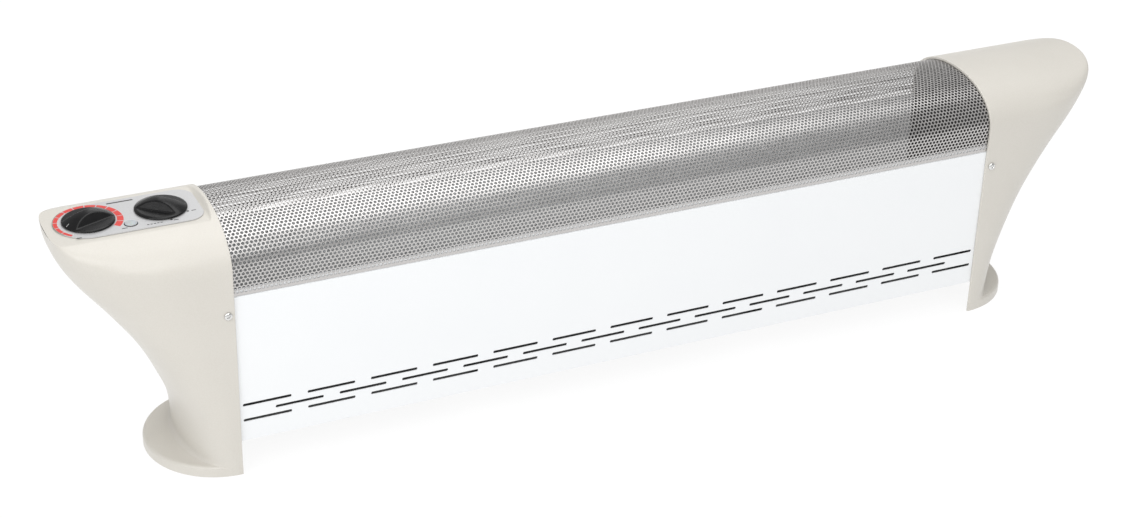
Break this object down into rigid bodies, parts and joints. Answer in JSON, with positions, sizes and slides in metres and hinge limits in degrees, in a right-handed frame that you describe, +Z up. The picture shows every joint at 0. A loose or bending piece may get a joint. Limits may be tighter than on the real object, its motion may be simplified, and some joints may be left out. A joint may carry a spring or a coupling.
{
  "type": "baseboard heater",
  "caption": "Free-standing electric baseboard heater: arched perforated outlet, slotted white panels, flared end caps on half-disc feet, and dials on one cap.",
  "frame": {"origin": "on the floor, under the middle of the heater", "axes": "+X along the heater towards the plain end cap, -Y towards the front panel, +Z up"},
  "size_m": [1.0966, 0.151, 0.2613],
  "materials": {
    "cap_plastic": "warm off-white moulded plastic with a fine satin grain",
    "grille_steel": "bright plated steel, perforated",
    "panel_paint": "smooth bright white paint",
    "inner_steel": "plain galvanised sheet",
    "bulkhead_steel": "dark grey, slightly rough",
    "fascia_silver": "satin silver with printed dial marks",
    "knob_black": "glossy black",
    "fastener_steel": "bright plated steel",
    "ceramic": "unglazed off-white",
    "dark_moulding": "dark brown-black moulding",
    "lens": "clear",
    "fin_aluminium": "mill finish",
    "jumper_copper": "bare copper",
    "bushing_rubber": "black",
    "plate_aluminium": "satin, blank",
    "lead_white": "white sleeving",
    "lead_red": "red sleeving"
  },
  "bodies": {
    "heater": {"left_end_cap": "cap_plastic", "right_end_cap": "cap_plastic", "perforated_grille": "grille_steel", "front_panel": "panel_paint", "back_panel": "panel_paint", "left_bulkhead": "bulkhead_steel", "right_bulkhead": "bulkhead_steel", "control_fascia": "fascia_silver", "thermostat_nut": "fastener_steel", "selector_nut": "fastener_steel", "thermostat_body": "ceramic", "selector_body": "dark_moulding", "pilot_lens": "lens", "pilot_lamp": "dark_moulding", "upper_element": "fin_aluminium", "lower_element": "fin_aluminium", "upper_left_insulator": "ceramic", "upper_right_insulator": "ceramic", "lower_left_insulator": "ceramic", "lower_right_insulator": "ceramic", "upper_left_terminal_nut": "fastener_steel", "upper_right_terminal_nut": "fastener_steel", "lower_left_terminal_nut": "fastener_steel", "lower_right_terminal_nut": "fastener_steel", "element_jumper": "jumper_copper", "left_element_support": "inner_steel", "right_element_support": "inner_steel", "front_heat_shield": "inner_steel", "back_heat_shield": "inner_steel", "left_cross_brace": "inner_steel", "right_cross_brace": "inner_steel", "thermal_cutout": "dark_moulding", "terminal_block": "ceramic", "cord_bushing": "bushing_rubber", "tip_switch_housing": "dark_moulding", "tip_pivot_pin": "inner_steel", "rating_plate": "plate_aluminium", "front_left_cap_screw": "fastener_steel", "front_right_cap_screw": "fastener_steel", "back_left_cap_screw": "fastener_steel", "back_right_cap_screw": "fastener_steel", "supply_lead": "lead_white", "element_lead": "lead_white", "thermostat_lead": "lead_red", "selector_lead": "lead_red"},
    "thermostat_control": {"thermostat_knob": "knob_black", "thermostat_shaft": "inner_steel"},
    "selector_control": {"selector_knob": "knob_black", "selector_shaft": "inner_steel"},
    "tip_switch_pendulum": {"tip_pendulum": "inner_steel"}
  },
  "joints": [
    {"name": "thermostat_turn", "type": "hinge", "parent": "heater", "child": "thermostat_control", "pos_m": [-0.508, 0, 0.252], "axis": [0, 0, 1], "range_deg": [-243, 27]},
    {"name": "selector_turn", "type": "hinge", "parent": "heater", "child": "selector_control", "pos_m": [-0.4425, 0, 0.252], "axis": [0, 0, 1], "range_deg": [-47, 0]},
    {"name": "tip_swing", "type": "hinge", "parent": "heater", "child": "tip_switch_pendulum", "pos_m": [-0.4013, -0.035, 0.079], "axis": [1, 0, 0], "range_deg": [-20, 20]}
  ]
}
